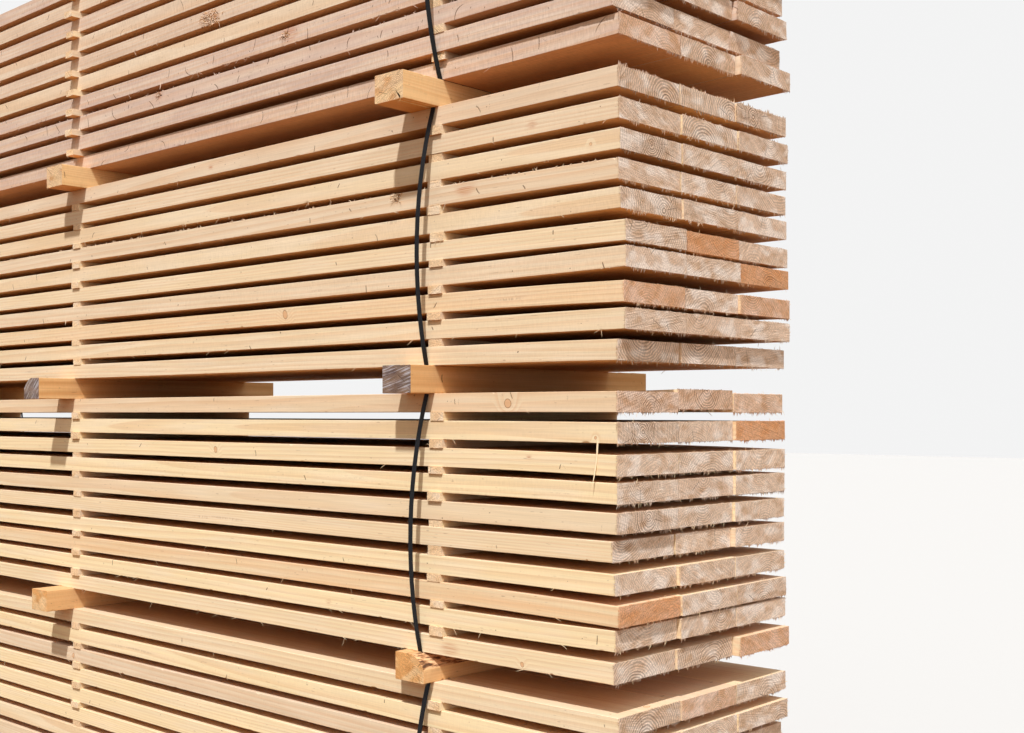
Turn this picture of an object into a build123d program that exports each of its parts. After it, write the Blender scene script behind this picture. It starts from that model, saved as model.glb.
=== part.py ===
from build123d import *
import math
import os

# Boards: sawn planks, several to a layer, many layers to a pack
board_length = 5100.0
board_width = 250.0
board_thickness = 50.0
board_gap = 3.0
boards_in_layer = 3
layers_in_pack = 10
packs_in_stack = 4

# Stickers: thin laths between the layers, in three columns across the boards
sticker_thickness = 22.0
sticker_width = 50.0
near_column_inset = 614.0
middle_column_offset = 50.0
far_column_inset = 645.0

# Bearers: square-sawn timbers that lift each pack, under the columns
bearer_height = 75.0
bearer_width = 110.0
bearer_length = 1040.0
wane_width = 52.0
wane_height = 38.0
wane_swell = 5.0

# Straps: steel band round each pack, slack enough to bow out at the sides
strap_width = 16.0
strap_thickness = 0.9
strap_bow_front = 48.0
strap_bow_rear = 26.0
strap_groove_clearance = 1.0
strapped_columns = ("near", "far")

# Seals: folded steel sleeves that grip the overlapping ends of each strap
seal_length = 32.0
seal_overhang = 2.0
seal_wall = 1.15

# How far hand stacking is off: of a board's far end in height, and of a sticker along and across
lift_scatter = 2.5
sticker_scatter = 8.0
sticker_slide = 5.0
sticker_stand_out = 3.0
golden_share = 0.618034

# How far past the outermost sticker or bearer the boards stay flat before their ends bend
seat_margin = 10.0

# How far each board's near end stands out past the nominal end (front board first)
near_end_steps = {
    1: [(3, 6, 6), (5, 8, 12), (-4, 3, -8), (6, -2, -6), (-9, -1, 4),
        (3, -7, -5), (-6, 2, 8), (-2, -9, -3), (5, 4, -7), (-3, -6, 2)],
    2: [(-3, -6, -4), (-2, -5, 4), (-3, -4, 4), (-3, -4, 3), (-4, -7, 1),
        (-17, -13, 2), (-9, 1, 2), (3, 8, 8), (-8, 4, 5), (-13, -7, 17)],
    3: [(0, 1, 7), (3, 8, 13), (6, 9, 8), (1, 4, 6), (7, 12, 9),
        (22, 14, 12), (22, 19, 15), (17, 11, 19), (21, 21, 19), (-2, 5, 1)],
    4: [(-12, -8, -4), (-5, 4, -9), (6, -3, -8), (-7, 9, 2), (4, -6, -2),
        (-9, -2, 7), (8, 3, -5), (-3, -8, 9), (-17, -17, -13), (-9, -8, 11)],
}

# How far each layer's near end lifts or droops from its last sticker, top layer first
near_end_lifts = {
    1: [2, -1, 1, -2, 1, 2, -1, 1, -2, 1],
    2: [-1, -2, -7, -4, -2, 1, -1, -5, 6, 3],
    3: [1, 1, -1, -3, 1, -4, 3, -7, -1, -3],
    4: [2, -3, 3, 1, -2, 2, -1, 3, -2, 5],
}

# How much thicker or thinner than usual the stickers under each layer are, top layer first
sticker_differences = {
    1: [1, -1, 0, 1, -1, 0, 1, -1, 0],
    2: [1, 1, -3, 1, -2, 4, -2, -3, 3],
    3: [3, -1, -4, 1, 1, -4, 0, -2, -1],
    4: [0, 1, -1, 1, 0, -1, 1, 0, -1],
}

# Extra lift of single boards that warped off their stickers' line, by pack and layer from the top
warped_boards = {(2, 1): (0, 8, 0)}

# Layers that were laid back from the front face, by pack and layer from the top
layer_set_backs = {(4, 10): 16.0}

# Columns whose stickers stick out further at the front than usual
column_stand_outs = {(4, "middle"): 27.0}

# Where each bearer lies: how far past its column from the near end, and its stand-out at the front
bearer_places = {
    (1, "near"): (54.0, 95.0), (1, "middle"): (50.0, 110.0), (1, "far"): (-15.0, 120.0),
    (2, "near"): (59.0, 40.0), (2, "middle"): (75.0, 105.0), (2, "far"): (-3.0, 130.0),
    (3, "near"): (58.0, 88.0), (3, "middle"): (66.0, 140.0), (3, "far"): (-30.0, 92.0),
    (4, "near"): (43.0, 129.0), (4, "middle"): (-16.0, 95.0), (4, "far"): (-7.0, 110.0),
}

# Bearers sawn so near the bark that one upper edge is missing, and which side that edge is on
waned_bearers = {(2, "near"): 1, (3, "middle"): -1, (1, "far"): 1}

# How far past its column each pack's strap runs, at the top and at the foot of the pack
strap_shifts = {
    (1, "near"): (26.0, 48.0), (1, "far"): (-27.0, -5.0),
    (2, "near"): (33.0, 58.0), (2, "far"): (-15.0, 7.0),
    (3, "near"): (8.0, 34.0), (3, "far"): (-3.0, -25.0),
    (4, "near"): (-10.0, -3.0), (4, "far"): (-19.0, -3.0),
}

# Sizes that follow from the ones above
seal_width = strap_width + 2 * seal_overhang
seal_thickness = strap_thickness + 2 * seal_wall
pack_width = boards_in_layer * board_width + (boards_in_layer - 1) * board_gap
near_end = board_length / 2
front_face = -pack_width / 2
column_places = {
    "near": near_end - near_column_inset,
    "middle": middle_column_offset,
    "far": far_column_inset - near_end,
}


def flat_end(column, side):
    """Place along the boards where they start to bend, past every piece that they rest on in a column."""
    column_place = column_places[column]
    edges = [side * column_place + sticker_width / 2 + sticker_scatter]
    for (_, name), (shift, _) in bearer_places.items():
        if name == column:
            edges.append(side * (column_place - shift) + bearer_width / 2)
    return side * (max(edges) + seat_margin)


near_flat_end = flat_end("near", 1)
far_flat_end = flat_end("far", -1)


def scatter(index, reach):
    """Repeatable spread from -reach to +reach, a new value for each whole index."""
    return reach * (2 * (index * golden_share % 1) - 1)


def layer_gap(pack, layer):
    """Thickness of the stickers under a layer, counted from the top of the pack."""
    return sticker_thickness + sticker_differences[pack][layer - 1]


def set_back(pack, layer):
    """How far a layer lies back from the front face of its pack."""
    return layer_set_backs.get((pack, layer), 0)


def layer_floor(pack, layer):
    """Height of a layer's underside above the underside of its pack."""
    below = range(layer, layers_in_pack)
    return sum(board_thickness + layer_gap(pack, under) for under in below)


def pack_height(pack):
    """Height of a pack from the underside of its lowest boards to the top of its highest."""
    return layer_floor(pack, 1) + board_thickness


def pack_floor(pack):
    """Height of a pack's underside: it stands on its bearers and on the packs below."""
    return bearer_height + sum(pack_height(lower) + bearer_height for lower in range(1, pack))


def end_edge(seat, tip, heading):
    """Edge from the last seat of a board to its tip, straight or bent in one long arc."""
    if tip[1] == seat[1]:
        return Line(seat, tip)
    return TangentArc(seat, tip, tangent=heading)


def board_outline(shift, near_lift, far_lift, level):
    """One long edge of a board's side view: flat over its stickers, bent past them."""
    near_seat = (near_flat_end, level)
    far_seat = (far_flat_end, level)
    near_tip = (near_end + shift, level + near_lift)
    far_tip = (near_end + shift - board_length, level + far_lift)
    edges = [
        end_edge(far_seat, far_tip, (-1, 0)),
        Line(far_seat, near_seat),
        end_edge(near_seat, near_tip, (1, 0)),
    ]
    return edges, near_tip, far_tip


def board(shift, near_lift, far_lift, front):
    """One board with its front edge at the given place across the pack."""
    lower, lower_near, lower_far = board_outline(shift, near_lift, far_lift, 0)
    upper, upper_near, upper_far = board_outline(shift, near_lift, far_lift, board_thickness)
    side_view = make_face([*lower, *upper, Line(lower_near, upper_near), Line(lower_far, upper_far)])
    return extrude(Plane.XZ.offset(-front - board_width) * side_view, amount=board_width)


def layer_of_boards(pack, layer):
    """The boards of one layer, side by side with a small gap, at their height in the stack."""
    index = pack * layers_in_pack + layer
    steps = near_end_steps[pack][layer - 1]
    extra_lifts = warped_boards.get((pack, layer), (0,) * boards_in_layer)
    boards = []
    for place in range(boards_in_layer):
        shift = steps[place % len(steps)]
        near_lift = near_end_lifts[pack][layer - 1] + extra_lifts[place % len(extra_lifts)]
        far_lift = scatter(index * boards_in_layer + place, lift_scatter)
        front = front_face + set_back(pack, layer) + place * (board_width + board_gap)
        boards.append(board(shift, near_lift, far_lift, front))
    return Pos(0, 0, pack_floor(pack) + layer_floor(pack, layer)) * Compound(boards)


def pack_stickers(pack):
    """All stickers of a pack: one row across the boards in each column, under each layer but the last."""
    stickers = []
    for layer in range(1, layers_in_pack):
        top = pack_floor(pack) + layer_floor(pack, layer)
        thickness = layer_gap(pack, layer)
        for number, (column, column_place) in enumerate(column_places.items()):
            index = (pack * layers_in_pack + layer) * len(column_places) + number
            place = column_place + scatter(index, sticker_scatter)
            stand_out = sticker_stand_out + column_stand_outs.get((pack, column), 0)
            centre = scatter(index + 1, sticker_slide) - stand_out + set_back(pack, layer + 1) / 2
            lath = Box(sticker_width, pack_width, thickness)
            stickers.append(Pos(place, centre, top - thickness / 2) * lath)
    return Compound(stickers)


def bearer_section(wane_side):
    """Cross-section of a bearer, seen along its length, with a rounded bark edge if it has wane."""
    half = bearer_width / 2
    if wane_side == 0:
        return Rectangle(bearer_width, bearer_height, align=(Align.CENTER, Align.MIN))
    shoulder = (half - wane_width, bearer_height)
    cheek = (half, bearer_height - wane_height)
    swollen = (half - wane_width / 2 + wane_swell, bearer_height - wane_height / 2 + wane_swell)
    corners = Polyline(cheek, (half, 0), (-half, 0), (-half, bearer_height), shoulder)
    section = make_face([*corners.edges(), ThreePointArc(shoulder, swollen, cheek)])
    return section if wane_side > 0 else mirror(section, Plane.YZ)


def strap_places(pack, column):
    """Places along the boards of a strap's middle, at the top and at the foot of its pack."""
    return [column_places[column] - shift for shift in strap_shifts[(pack, column)]]


def strap_groove(place, height):
    """Slot that a strap presses into a bearer, centred on the face that it crosses."""
    width = strap_width + 2 * strap_groove_clearance
    return Pos(place, 0, height) * Box(width, 2 * bearer_length, 2 * strap_thickness)


def bearer(level, column):
    """One bearer on its level, grooved where the straps above and below it cross."""
    shift, stand_out = bearer_places[(level, column)]
    floor = pack_floor(level) - bearer_height
    section = bearer_section(waned_bearers.get((level, column), 0))
    timber = extrude(Plane.XZ.offset(bearer_length / 2) * section, amount=-bearer_length)
    centre = front_face - stand_out + bearer_length / 2
    timber = Pos(column_places[column] - shift, centre, floor) * timber
    if column in strapped_columns:
        _, foot = strap_places(level, column)
        timber -= strap_groove(foot, pack_floor(level))
    if column in strapped_columns and level > 1:
        top, _ = strap_places(level - 1, column)
        timber -= strap_groove(top, floor)
    return timber


def strap_loop_face(pack):
    """Section of a strap's loop: flat across the top and foot of the pack, bowed at both sides."""
    height = pack_height(pack)
    front = -pack_width / 2
    rear = pack_width / 2
    foot_shift = set_back(pack, layers_in_pack)
    foot_front, foot_rear = (front + foot_shift, 0), (rear + foot_shift, 0)
    top_front, top_rear = (front, height), (rear, height)
    inside = make_face([
        Line(foot_front, foot_rear),
        ThreePointArc(foot_rear, (rear + strap_bow_rear, height / 2), top_rear),
        Line(top_rear, top_front),
        ThreePointArc(top_front, (front - strap_bow_front, height / 2), foot_front),
    ])
    return offset(inside, strap_thickness) - inside


def strap_lean(pack, column):
    """Slope of a strap along the boards, from the foot of its pack to the top."""
    top, foot = strap_places(pack, column)
    return math.degrees(math.atan2(top - foot, pack_height(pack)))


def strap(pack, column):
    """One strap: the loop cut to the strap's width by two faces that lean along the boards."""
    top, foot = strap_places(pack, column)
    height = pack_height(pack)
    spread = abs(top - foot) + 2 * strap_width
    loop = extrude(Plane.YZ.offset(-spread) * strap_loop_face(pack), amount=2 * spread)
    reach = 2 * (pack_width + strap_bow_front + strap_bow_rear)
    width_slice = Box(strap_width, reach, 2 * height)
    leaning = Pos(0, 0, height / 2) * Rot(0, strap_lean(pack, column), 0) * width_slice
    return Pos((top + foot) / 2, 0, pack_floor(pack)) * (loop & leaning)


def strap_seal(pack, column, band):
    """Sleeve round a strap where its ends overlap, half way up the rear side."""
    middle = sum(strap_places(pack, column)) / 2
    behind = pack_width / 2 + strap_bow_rear + strap_thickness / 2
    sleeve = Rot(0, strap_lean(pack, column), 0) * Box(seal_width, seal_thickness, seal_length)
    return Pos(middle, behind, pack_floor(pack) + pack_height(pack) / 2) * sleeve - band


def write_node(name, solids):
    """Write the solids of one node to its own file."""
    export_step(Compound([solid for shape in solids for solid in shape.solids()]), f"parts/{name}.step")


os.makedirs("parts", exist_ok=True)
for pack in range(1, packs_in_stack + 1):
    write_node(f"pack_{pack}_bearers", [bearer(pack, column) for column in column_places])
    write_node(f"pack_{pack}_stickers", [pack_stickers(pack)])
    for layer in range(1, layers_in_pack + 1):
        write_node(f"pack_{pack}_layer_{layer:02d}", [layer_of_boards(pack, layer)])
    bands = {column: strap(pack, column) for column in strapped_columns}
    write_node(f"pack_{pack}_straps", list(bands.values()))
    seals = [strap_seal(pack, column, band) for column, band in bands.items()]
    write_node(f"pack_{pack}_strap_seals", seals)
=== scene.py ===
"""Looks of a yard stack of sawn softwood boards: packs on bearers, each tied with two steel straps."""

import logging
import math
from dataclasses import dataclass, field, replace
from enum import Enum
from typing import NamedTuple, Optional, Sequence, Union

import bpy
import numpy as np
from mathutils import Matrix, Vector


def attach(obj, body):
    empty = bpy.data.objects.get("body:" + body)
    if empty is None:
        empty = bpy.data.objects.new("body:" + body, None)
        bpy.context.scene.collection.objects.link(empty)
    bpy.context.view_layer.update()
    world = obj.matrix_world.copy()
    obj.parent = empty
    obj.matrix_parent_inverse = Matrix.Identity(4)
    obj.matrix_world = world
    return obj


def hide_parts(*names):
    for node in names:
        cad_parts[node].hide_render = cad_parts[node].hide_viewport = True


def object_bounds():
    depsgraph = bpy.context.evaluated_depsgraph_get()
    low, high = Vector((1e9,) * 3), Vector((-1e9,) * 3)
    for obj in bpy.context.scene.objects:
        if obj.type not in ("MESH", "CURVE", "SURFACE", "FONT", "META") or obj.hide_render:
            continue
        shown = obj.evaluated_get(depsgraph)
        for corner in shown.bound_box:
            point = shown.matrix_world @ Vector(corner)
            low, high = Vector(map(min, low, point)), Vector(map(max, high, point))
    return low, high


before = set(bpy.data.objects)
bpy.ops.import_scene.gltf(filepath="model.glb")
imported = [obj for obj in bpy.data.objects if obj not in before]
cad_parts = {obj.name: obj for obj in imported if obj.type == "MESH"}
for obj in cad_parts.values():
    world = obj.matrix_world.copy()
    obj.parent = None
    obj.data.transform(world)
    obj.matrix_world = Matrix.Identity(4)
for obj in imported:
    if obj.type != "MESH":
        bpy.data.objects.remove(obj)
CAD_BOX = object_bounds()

LOG = logging.getLogger("lumber_stack")
BODY = "root"
PACKS = 4
LAYERS = 10

SEED_SHIFT = 47.0
FINE_LINES = 330.0
BRANCH_LEAN = 0.3
TO_THE_END = 9.9
SAME_PLACE = 1e-5
SHARP_ANGLE = 12.0
NOTCH_SHARES = (-1, -0.8, 0, 0.7, 1)

Number = Union[int, float]
Colour = tuple[float, float, float]
Places = Union[Number, np.ndarray]
Steps = tuple[tuple[float, float], ...]
Spot = tuple[float, float, float]
LayerKey = tuple[int, int]
BoardKey = tuple[int, int, int]

X = np.array([1.0, 0.0, 0.0])
Y = np.array([0.0, 1.0, 0.0])
Z = np.array([0.0, 0.0, 1.0])


def paint(red: float, green: float, blue: float) -> Colour:
    """Turn screen levels into the linear colour that a shader takes.

    Args:
        red: Red level, from 0 to 255.
        green: Green level, from 0 to 255.
        blue: Blue level, from 0 to 255.

    Returns:
        The linear colour.
    """
    shares = (red / 255, green / 255, blue / 255)
    linear = [share / 12.92 if share <= 0.04045 else ((share + 0.055) / 1.055) ** 2.4 for share in shares]
    return linear[0], linear[1], linear[2]


class Signal:
    """A shader socket whose operators add Math nodes."""

    def __init__(self, graph: "Graph", socket: bpy.types.NodeSocket) -> None:
        """Keep the socket and the graph that it belongs to."""
        self.graph = graph
        self.socket = socket

    def _math(self, operation: str, *values: "Input") -> "Signal":
        """Add one Math node on several values."""
        return self.graph.add("ShaderNodeMath", {"operation": operation}, dict(enumerate(values)))

    def __add__(self, other: "Input") -> "Signal":
        """Add."""
        return self._math("ADD", self, other)

    def __radd__(self, other: Number) -> "Signal":
        """Add to a number."""
        return self._math("ADD", other, self)

    def __sub__(self, other: "Input") -> "Signal":
        """Take away."""
        return self._math("SUBTRACT", self, other)

    def __rsub__(self, other: Number) -> "Signal":
        """Take from a number."""
        return self._math("SUBTRACT", other, self)

    def __mul__(self, other: "Input") -> "Signal":
        """Multiply."""
        return self._math("MULTIPLY", self, other)

    def __rmul__(self, other: Number) -> "Signal":
        """Multiply a number."""
        return self._math("MULTIPLY", other, self)

    def __truediv__(self, other: "Input") -> "Signal":
        """Divide."""
        return self._math("DIVIDE", self, other)

    def root(self) -> "Signal":
        """Square root."""
        return self._math("SQRT", self)

    def floor(self) -> "Signal":
        """Whole part."""
        return self._math("FLOOR", self)

    def fraction(self) -> "Signal":
        """Part after the point."""
        return self._math("FRACT", self)

    def size(self) -> "Signal":
        """Value without its sign."""
        return self._math("ABSOLUTE", self)

    def sine(self) -> "Signal":
        """Sine of an angle."""
        return self._math("SINE", self)

    def cosine(self) -> "Signal":
        """Cosine of an angle."""
        return self._math("COSINE", self)

    def angle(self, across: "Signal") -> "Signal":
        """Direction of the point whose height is this value and whose side is another."""
        return self._math("ARCTAN2", self, across)

    def most(self, other: "Input") -> "Signal":
        """The larger of two values."""
        return self._math("MAXIMUM", self, other)

    def rise(self, low: "Input", high: "Input") -> "Signal":
        """Smooth step between two levels.

        Args:
            low: Level at which the step is 0; it may be the higher one.
            high: Level at which the step is 1.

        Returns:
            The step, from 0 to 1.
        """
        inputs = {0: self, 1: low, 2: high, 3: 0.0, 4: 1.0}
        return self.graph.add("ShaderNodeMapRange", {"interpolation_type": "SMOOTHSTEP"}, inputs)


Input = Union[Signal, Number, Colour]


class Graph:
    """The node tree of a material or of the surroundings."""

    def __init__(self, owner: Union[bpy.types.Material, bpy.types.World]) -> None:
        """Clear the owner's node tree."""
        owner.use_nodes = True
        self.owner = owner
        self.tree = owner.node_tree
        self.tree.nodes.clear()

    def add(
        self,
        kind: str,
        settings: Optional[dict[str, object]] = None,
        inputs: Optional[dict[Union[int, str], Input]] = None,
        output: Union[int, str] = 0,
    ) -> Signal:
        """Add a node.

        Args:
            kind: Type of the node.
            settings: Its properties, set before its sockets.
            inputs: A value or signal for each socket, by name or number.
            output: Name or number of the socket to return.

        Returns:
            The chosen output.
        """
        node = self.tree.nodes.new(kind)
        for key, setting in (settings or {}).items():
            setattr(node, key, setting)
        for key, value in (inputs or {}).items():
            if isinstance(value, Signal):
                self.tree.links.new(value.socket, node.inputs[key])
            else:
                node.inputs[key].default_value = value
        return Signal(self, node.outputs[output])

    def parts(self, vector: Signal) -> tuple[Signal, Signal, Signal]:
        """Take a vector or colour apart."""
        outputs = self.add("ShaderNodeSeparateXYZ", inputs={0: vector}).socket.node.outputs
        return Signal(self, outputs[0]), Signal(self, outputs[1]), Signal(self, outputs[2])

    def attribute(self, name: str) -> tuple[Signal, Signal, Signal]:
        """Read a vector attribute of the mesh."""
        return self.parts(self.add("ShaderNodeAttribute", {"attribute_name": name}, output="Vector"))

    def vector(self, x: Input, y: Input, z: Input) -> Signal:
        """Make a vector of three values."""
        return self.add("ShaderNodeCombineXYZ", inputs={0: x, 1: y, 2: z})

    def noise(self, x: Input, y: Input, z: Input, detail: float = 1.0, roughness: float = 0.5) -> Signal:
        """Smooth noise.

        Args:
            x: Where it is read, in periods.
            y: The same on the second axis.
            z: The same on the third axis.
            detail: Number of finer layers on the first.
            roughness: Strength of each finer layer.

        Returns:
            The noise, from 0 to 1 and mostly near a half.
        """
        inputs = {"Vector": self.vector(x, y, z), "Scale": 1.0, "Detail": detail, "Roughness": roughness}
        return self.add("ShaderNodeTexNoise", {}, inputs, "Fac")

    def chance(self, x: Input, y: Input) -> tuple[Signal, Signal, Signal]:
        """Three random values for each pair of numbers."""
        return self.parts(self.add("ShaderNodeTexWhiteNoise", {}, {0: self.vector(x, y, 0.5)}, "Color"))

    def blend(self, share: Input, first: Input, second: Input, mode: str = "MIX") -> Signal:
        """Mix two colours.

        Args:
            share: Share of the second colour, from 0 to 1.
            first: First colour.
            second: Second colour.
            mode: How the second colour acts on the first.

        Returns:
            The mixed colour.
        """
        colours = [value if isinstance(value, Signal) else (*value, 1.0) for value in (first, second)]
        settings = {"data_type": "RGBA", "blend_type": mode}
        return self.add("ShaderNodeMix", settings, {0: share, 6: colours[0], 7: colours[1]}, 2)

    def coats(self, ground: Signal, *coats: tuple[Input, Colour]) -> Signal:
        """Lay coats of colour on a ground, one after the other.

        Args:
            ground: The colour below them.
            *coats: Share and colour of each coat.

        Returns:
            The colour on top.
        """
        for share, colour in coats:
            ground = self.blend(share, ground, colour)
        return ground

    def level(self, colour: Signal, amount: Signal) -> Signal:
        """Make a colour lighter or darker."""
        return self.add("ShaderNodeVectorMath", {"operation": "SCALE"}, {0: colour, "Scale": amount})

    def seen(self) -> Signal:
        """Whether the camera, a mirror or a glass sees the surface."""
        path = self.add("ShaderNodeLightPath").socket.node.outputs
        names = ("Is Camera Ray", "Is Glossy Ray", "Is Transmission Ray")
        camera, mirror, glass = (Signal(self, path[name]) for name in names)
        return camera.most(mirror).most(glass)

    def bump(self, height: Signal, distance: float) -> Signal:
        """Turn a height, as a share of a distance in metres, into a normal."""
        return self.add("ShaderNodeBump", {}, {"Height": height, "Distance": distance})

    def principled(self, **sockets: Input) -> bpy.types.Material:
        """Close the material with a principled shader.

        Args:
            **sockets: Values of the shader's sockets, with _ for a space in their names.

        Returns:
            The material.
        """
        inputs = {name.replace("_", " "): value for name, value in sockets.items()}
        colour = inputs["Base Color"]
        if not isinstance(colour, Signal):
            inputs["Base Color"] = (*colour, 1.0)
        self.output(self.add("ShaderNodeBsdfPrincipled", {}, inputs), "ShaderNodeOutputMaterial")
        return self.owner

    def output(self, shader: Signal, kind: str) -> None:
        """Link a shader to an output node of the given type."""
        self.tree.links.new(shader.socket, self.tree.nodes.new(kind).inputs["Surface"])


class Grown(NamedTuple):
    """What a timber's own growth gives at each point of it."""

    along: Signal
    across: Signal
    up: Signal
    pith_across: Signal
    pith_up: Signal
    seed: Signal
    tone: Signal
    stain: Signal
    radius: Signal
    ring_width: Signal
    rings: Signal
    saw: Signal
    scrapes: Signal

    @property
    def run(self) -> Signal:
        """Place along the timber, shifted by its own seed."""
        return self.along + self.seed * SEED_SHIFT


@dataclass(frozen=True)
class GrownWood:
    """Growth of a timber: rings round a pith that wanders and narrows along it.

    A mesh has these vector attributes: stock, the place along, across and up the timber; log, the pith's
    place across and up, and the width of a ring; look, the timber's own seed, tone and stain; and wear, the
    strength of its rings on the ends, of saw marks and of scrapes.
    """

    name: str
    taper: float = 0.004
    wander: float = 0.012

    def grow(self, g: Graph) -> Grown:
        """Add what both the long faces and the ends need.

        Args:
            g: Graph to add to.

        Returns:
            The signals.
        """
        along, across, up = g.attribute("stock")
        pith_across, pith_up, ring_width = g.attribute("log")
        seed, tone, stain = g.attribute("look")
        wear = g.attribute("wear")
        side, rise = across - pith_across, up - pith_up
        bend = g.noise(along * 0.9 + seed * SEED_SHIFT, across * 11.0, up * 11.0) - 0.5
        radius = (side * side + rise * rise).root() + bend * self.wander + along * self.taper
        return Grown(along, across, up, side, rise, seed, tone, stain, radius, ring_width, *wear)

    @staticmethod
    def latewood(g: Graph, rings: Signal, seed: Signal, start: float, full: float) -> Signal:
        """Dark outer part of each ring.

        Args:
            g: Graph to add to.
            rings: Number of rings from the pith.
            seed: The timber's own seed.
            start: Share of the ring at which the dark part sets in.
            full: Share of the ring at which it is darkest.

        Returns:
            The dark part, from 0 to 1, stronger in some rings than in others.
        """
        share = rings.fraction()
        strength = g.chance(rings.floor(), seed * 57.0)[0]
        return share.rise(start, full) * share.rise(1.0, 0.95) * (strength * 0.5 + 0.5)


@dataclass(frozen=True)
class LongGrain(GrownWood):
    """Finish of the sawn long faces: soft ring bands, fibre lines, saw marks, scrapes, flecks and knots, with
    painted shade on the faces that face down and up.

    The vector attribute knot gives the place, the direction from the pith and the radius of one branch, and
    mark the place, the height and the size of one stained patch.
    """

    straw: Colour = paint(255, 234, 190)
    rosy: Colour = paint(217, 192, 176)
    pale: Colour = paint(253, 238, 214)
    late: Colour = paint(222, 168, 112)
    stained: Colour = paint(236, 184, 132)
    stain_show: float = 0.5
    patch: Colour = paint(190, 106, 50)
    fleck: Colour = paint(132, 90, 60)
    scrape: Colour = paint(96, 62, 40)
    heart: Colour = paint(226, 176, 130)
    rim: Colour = paint(130, 80, 50)
    ring_show: float = 0.33
    # Painted shade: a darker, more orange colour multiplied into the faces that face down.
    painted_underside_shade: Colour = (0.86, 0.54, 0.29)
    # Painted shade: a duller, darker colour multiplied into the faces that face up, where the key lamp falls
    # most.
    painted_top_shade: Colour = (0.84, 0.82, 0.83)
    half_width: float = 0.125
    whorl_gap: float = 0.71
    knot_share: float = 0.36
    largest_knot: float = 0.012
    level_from: float = 0.80
    level_full: float = 0.95
    roughness: float = 0.75
    gloss: float = 0.2
    relief: float = 0.0009

    def material(self) -> bpy.types.Material:
        """Build the material.

        Returns:
            The finished material.
        """
        g = Graph(bpy.data.materials.new(self.name))
        wood = self.grow(g)
        knot, push = self._knots(g, wood)
        late = self.latewood(g, (wood.radius + push) / wood.ring_width, wood.seed, 0.2, 0.9)
        run = wood.run
        lines = g.noise(run * 5.0, wood.across * FINE_LINES, wood.up * FINE_LINES, 1.0, 0.6)
        streaks = g.noise(run * 1.3, wood.across * 60.0, wood.up * 60.0 + wood.seed * 31.0)
        patches = g.noise(run * 4.0, wood.across * 12.0, wood.up * 44.0 + wood.seed * 17.0)
        teeth = g.noise(run * 210.0, wood.across * 50.0, wood.up * 50.0, 1.0, 0.6)
        flecks = g.noise(run * 45.0, wood.across * 230.0, wood.up * 230.0, 0.0).rise(0.78, 0.85)
        smudge = streaks.rise(0.62, 0.76) * patches.rise(0.62, 0.74) * teeth.rise(0.35, 0.6)
        height = wood.up + wood.across.size() - self.half_width
        marked = self._mark(g, wood, height, lines)
        scraped = self._scrapes(g, wood, run, height, 0.16, 0.030, 0.0024).most(
            self._scrapes(g, wood, run, height, 0.058, 0.0050, 0.0016))

        ground = g.coats(
            g.blend(wood.tone, self.straw, self.rosy),
            (patches.rise(0.38, 0.70) * 0.30, self.pale),
            (wood.stain * streaks.rise(0.20, 0.75) * self.stain_show, self.stained),
            (late * self.ring_show, self.late),
        )
        sawn = (teeth - 0.5) * (wood.saw * 0.32 + 0.03)
        colour = g.level(ground, 1.0 + (lines - 0.5) * 0.24 + (streaks - 0.5) * 0.12 + sawn)
        # Painted shade: by the direction of the face, faces that face down are multiplied by a darker orange
        # and faces that face up by a duller grey.
        facing_up = g.parts(g.add("ShaderNodeNewGeometry", output="True Normal"))[2]
        underside_shade_share = facing_up.rise(-self.level_from, -self.level_full)
        top_shade_share = facing_up.rise(self.level_from, self.level_full)
        colour = g.blend(underside_shade_share, colour, self.painted_underside_shade, "MULTIPLY")
        colour = g.blend(top_shade_share, colour, self.painted_top_shade, "MULTIPLY")
        colour = g.coats(
            colour,
            (marked, self.patch),
            (flecks * 0.30 + smudge * 0.35, self.fleck),
            (scraped * 0.85, self.scrape),
            (knot.rise(0.05, 0.5) * 0.8, self.heart),
            (knot.rise(0.02, 0.3) * knot.rise(1.0, 0.5) * 0.7, self.rim),
        )
        relief = (teeth - 0.5) * (wood.saw * 0.7 + 0.20) + (lines - 0.5) * 0.35
        return g.principled(
            Base_Color=colour, Roughness=self.roughness, Specular_IOR_Level=self.gloss,
            Normal=g.bump(relief, self.relief),
        )

    @staticmethod
    def _mark(g: Graph, wood: Grown, height: Signal, lines: Signal) -> Signal:
        """The timber's own stained patch, drawn out along the fibre.

        Args:
            g: Graph to add to.
            wood: The timber's growth.
            height: Place up the face.
            lines: Noise of the fibre lines.

        Returns:
            Mask of the patch.
        """
        place, level, size = g.attribute("mark")
        ahead, above = (wood.along - place) / 1.8, height - level
        distance = (ahead * ahead + above * above).root() + (lines - 0.5) * 0.030
        show = lines.rise(0.44, 0.64) * 0.6 + 0.12
        return distance.rise(size, size * 0.3) * size.rise(0.0, 0.001) * show

    @staticmethod
    def _scrapes(
        g: Graph, wood: Grown, run: Signal, height: Signal, gap: float, reach: float, width: float
    ) -> Signal:
        """Thin dark scrapes across the fibre, a little bent; at most one in each stretch.

        Args:
            g: Graph to add to.
            wood: The timber's growth.
            run: Place along the timber.
            height: Place up the face.
            gap: Length of a stretch.
            reach: Half length of the longest scrape.
            width: Width of a scrape, which fades at its edges.

        Returns:
            Mask of the scrapes.
        """
        cell = (run / gap).floor()
        place, lean, share = g.chance(cell, wood.seed * 37.0 + gap)
        lift, bow, limit = g.chance(cell, wood.seed * 83.0 + gap + 7.0)
        ahead = run - (cell + 0.2 + place * 0.6) * gap
        above = height - (lift - 0.5) * 0.042
        angle = (lean - 0.5) * 1.7
        cosine, sine = angle.cosine(), angle.sine()
        stroke = above * cosine + ahead * sine
        beside = ahead * cosine - above * sine + stroke * stroke * (bow - 0.5) * 50.0
        size = (share * 0.8 + 0.2) * reach * (wood.scrapes + 0.3).rise(0.0, 1.0)
        thin = (beside.size() + stroke.size() * 0.03).rise(width, width * 0.4)
        return thin * stroke.size().rise(size, size * 0.7) * (wood.scrapes - limit).rise(0.0, 0.02)

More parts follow.
